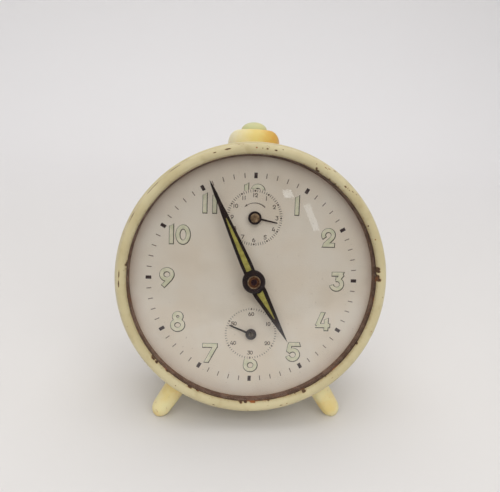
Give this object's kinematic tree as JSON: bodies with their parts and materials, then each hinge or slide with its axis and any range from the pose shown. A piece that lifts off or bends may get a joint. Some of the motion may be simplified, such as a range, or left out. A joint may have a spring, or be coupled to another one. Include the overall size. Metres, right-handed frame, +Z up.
{
  "type": "alarm clock",
  "caption": "Round two-legged wind-up alarm clock with a domed glass, separate alarm and seconds dials, a top stop button and a spring movement inside.",
  "frame": {"origin": "middle of the underside of the clock's box, on the table", "axes": "+Z up, dial towards -Y and leaning back 12 degrees, +X to the right as the dial is read"},
  "size_m": [0.099, 0.0677, 0.1082],
  "materials": {
    "cream_paint": "aged gloss cream enamel",
    "foot_plastic": "aged cream yellow plastic",
    "collar_plastic": "amber yellow plastic",
    "button_plastic": "pale green plastic",
    "dial_print": "matt printed beige",
    "glass": "clear domed glass",
    "rusty_steel": "brown rusted steel",
    "black_paint": "black lacquer",
    "brass": "dull brass",
    "steel": "plain steel",
    "spring_steel": "blued spring steel"
  },
  "bodies": {
    "case": {"case_drum": "cream_paint", "bezel": "cream_paint", "glass": "glass", "glass_ring": "rusty_steel", "dial": "dial_print", "back_cover": "cream_paint", "gong_stud": "steel", "foot_left": "foot_plastic", "foot_right": "foot_plastic", "foot_nut_left": "steel", "foot_nut_right": "steel", "button_collar": "collar_plastic", "front_plate": "brass", "back_plate": "brass", "pillar_right": "brass", "pillar_left": "brass", "pillar_upper_left": "brass", "pillar_upper_right": "brass", "mainspring": "spring_steel", "alarm_mainspring": "spring_steel", "hairspring": "spring_steel", "cover_screw_left": "steel", "cover_screw_right": "steel"},
    "minute_arbor": {"center_arbor": "steel", "cannon_pinion": "brass", "minute_hand": "black_paint", "setting_knob": "brass"},
    "minute_wheel": {"minute_wheel": "brass"},
    "hour_wheel": {"hour_wheel": "brass", "hour_hand": "black_paint"},
    "alarm_wheel": {"alarm_wheel": "brass"},
    "center_wheel": {"center_wheel": "brass"},
    "third_wheel": {"third_wheel": "brass"},
    "fourth_wheel": {"fourth_wheel": "brass", "seconds_hand": "black_paint"},
    "escape_wheel": {"escape_wheel": "brass"},
    "pallet_lever": {"pallet_lever": "steel"},
    "balance": {"balance_wheel": "brass", "balance_staff": "steel"},
    "regulator": {"regulator_lever": "steel"},
    "great_wheel": {"great_wheel": "brass"},
    "click": {"click": "steel"},
    "winding_arbor": {"ratchet_wheel": "steel", "winding_arbor": "steel", "winding_key": "brass"},
    "alarm_great_wheel": {"alarm_great_wheel": "brass"},
    "alarm_click": {"alarm_click": "steel"},
    "alarm_winding_arbor": {"alarm_ratchet_wheel": "steel", "alarm_winding_arbor": "steel", "alarm_winding_key": "brass"},
    "star_wheel": {"star_wheel": "brass"},
    "hammer": {"hammer": "steel"},
    "alarm_setting": {"alarm_arbor": "steel", "alarm_hand": "black_paint", "alarm_knob": "brass"},
    "stop_button": {"stop_button": "button_plastic"},
    "stop_lever": {"stop_lever": "steel"}
  },
  "joints": [
    {"name": "hands_turn", "type": "hinge", "parent": "case", "child": "minute_arbor", "pos_m": [0, -0.0184, 0.05455], "axis": [0, 0.9781, -0.2079], "continuous": true},
    {"name": "minute_wheel_turn", "type": "hinge", "parent": "case", "child": "minute_wheel", "pos_m": [0.014, -0.0184, 0.05455], "axis": [0, 0.9781, -0.2079], "continuous": true},
    {"name": "hour_turn", "type": "hinge", "parent": "case", "child": "hour_wheel", "pos_m": [0, -0.0184, 0.05455], "axis": [0, 0.9781, -0.2079], "continuous": true},
    {"name": "alarm_wheel_turn", "type": "hinge", "parent": "case", "child": "alarm_wheel", "pos_m": [0, -0.01374, 0.07646], "axis": [0, 0.9781, -0.2079], "continuous": true},
    {"name": "seconds_turn", "type": "hinge", "parent": "case", "child": "fourth_wheel", "pos_m": [0, -0.02264, 0.0346], "axis": [0, 0.9781, -0.2079], "continuous": true},
    {"name": "third_wheel_turn", "type": "hinge", "parent": "case", "child": "third_wheel", "pos_m": [0.00717, -0.02078, 0.04336], "axis": [0, 0.9781, -0.2079], "continuous": true},
    {"name": "center_wheel_turn", "type": "hinge", "parent": "case", "child": "center_wheel", "pos_m": [0, -0.0184, 0.05455], "axis": [0, 0.9781, -0.2079], "continuous": true},
    {"name": "great_wheel_turn", "type": "hinge", "parent": "case", "child": "great_wheel", "pos_m": [-0.0215, -0.01709, 0.06071], "axis": [0, 0.9781, -0.2079], "continuous": true},
    {"name": "escape_wheel_turn", "type": "hinge", "parent": "case", "child": "escape_wheel", "pos_m": [-0.00855, -0.02401, 0.02814], "axis": [0, 0.9781, -0.2079], "continuous": true},
    {"name": "pallet_rock", "type": "hinge", "parent": "case", "child": "pallet_lever", "pos_m": [-0.0159, -0.02372, 0.02951], "axis": [0, 0.9781, -0.2079], "range_deg": [-4, 4]},
    {"name": "balance_swing", "type": "hinge", "parent": "case", "child": "balance", "pos_m": [-0.022, -0.02339, 0.03107], "axis": [0, 0.9781, -0.2079], "range_deg": [-150, 150], "stiffness_Nm_per_rad": 0.00002},
    {"name": "regulator_turn", "type": "hinge", "parent": "case", "child": "regulator", "pos_m": [-0.022, -0.02339, 0.03107], "axis": [0, 0.9781, -0.2079], "range_deg": [-20, 20]},
    {"name": "click_lift", "type": "hinge", "parent": "great_wheel", "child": "click", "pos_m": [-0.0121, -0.01514, 0.06991], "axis": [0, 0.9781, -0.2079], "range_deg": [0, 14], "stiffness_Nm_per_rad": 0.0005},
    {"name": "winding_turn", "type": "hinge", "parent": "case", "child": "winding_arbor", "pos_m": [-0.0215, -0.01709, 0.06071], "axis": [0, 0.9781, -0.2079], "continuous": true},
    {"name": "alarm_great_wheel_turn", "type": "hinge", "parent": "case", "child": "alarm_great_wheel", "pos_m": [0.0215, -0.01709, 0.06071], "axis": [0, 0.9781, -0.2079], "continuous": true},
    {"name": "alarm_click_lift", "type": "hinge", "parent": "alarm_great_wheel", "child": "alarm_click", "pos_m": [0.0309, -0.01514, 0.06991], "axis": [0, 0.9781, -0.2079], "range_deg": [0, 14], "stiffness_Nm_per_rad": 0.0005},
    {"name": "alarm_winding_turn", "type": "hinge", "parent": "case", "child": "alarm_winding_arbor", "pos_m": [0.0215, -0.01709, 0.06071], "axis": [0, 0.9781, -0.2079], "continuous": true},
    {"name": "star_wheel_turn", "type": "hinge", "parent": "case", "child": "star_wheel", "pos_m": [0.0141, -0.01287, 0.08057], "axis": [0, 0.9781, -0.2079], "continuous": true},
    {"name": "hammer_swing", "type": "hinge", "parent": "case", "child": "hammer", "pos_m": [0.005, -0.01146, 0.08722], "axis": [0, 0.9781, -0.2079], "range_deg": [-3, 5]},
    {"name": "alarm_setting_turn", "type": "hinge", "parent": "case", "child": "alarm_setting", "pos_m": [0, -0.01374, 0.07646], "axis": [0, 0.9781, -0.2079], "continuous": true},
    {"name": "stop_press", "type": "slide", "parent": "case", "child": "stop_button", "axis": [0, 0.2079, 0.9781], "range_m": [-0.0025, 0], "stiffness_N_per_m": 400, "springref_m": 0.0003},
    {"name": "stop_lever_turn", "type": "hinge", "parent": "case", "child": "stop_lever", "pos_m": [-0.008, -0.01062, 0.09113], "axis": [0, 0.9781, -0.2079], "range_deg": [0, 18]}
  ],
  "couplings": [
    {"joint": "minute_wheel_turn", "follows": "hands_turn", "ratio": -0.33333},
    {"joint": "hour_turn", "follows": "hands_turn", "ratio": 0.083333},
    {"joint": "alarm_wheel_turn", "follows": "hands_turn", "ratio": -0.083333},
    {"joint": "third_wheel_turn", "follows": "seconds_turn", "ratio": -0.13333},
    {"joint": "center_wheel_turn", "follows": "seconds_turn", "ratio": 0.016667},
    {"joint": "great_wheel_turn", "follows": "seconds_turn", "ratio": -0.0027778},
    {"joint": "escape_wheel_turn", "follows": "seconds_turn", "ratio": -8},
    {"joint": "star_wheel_turn", "follows": "alarm_great_wheel_turn", "ratio": -8},
    {"joint": "stop_lever_turn", "follows": "stop_press", "rad_per_m": -125}
  ]
}
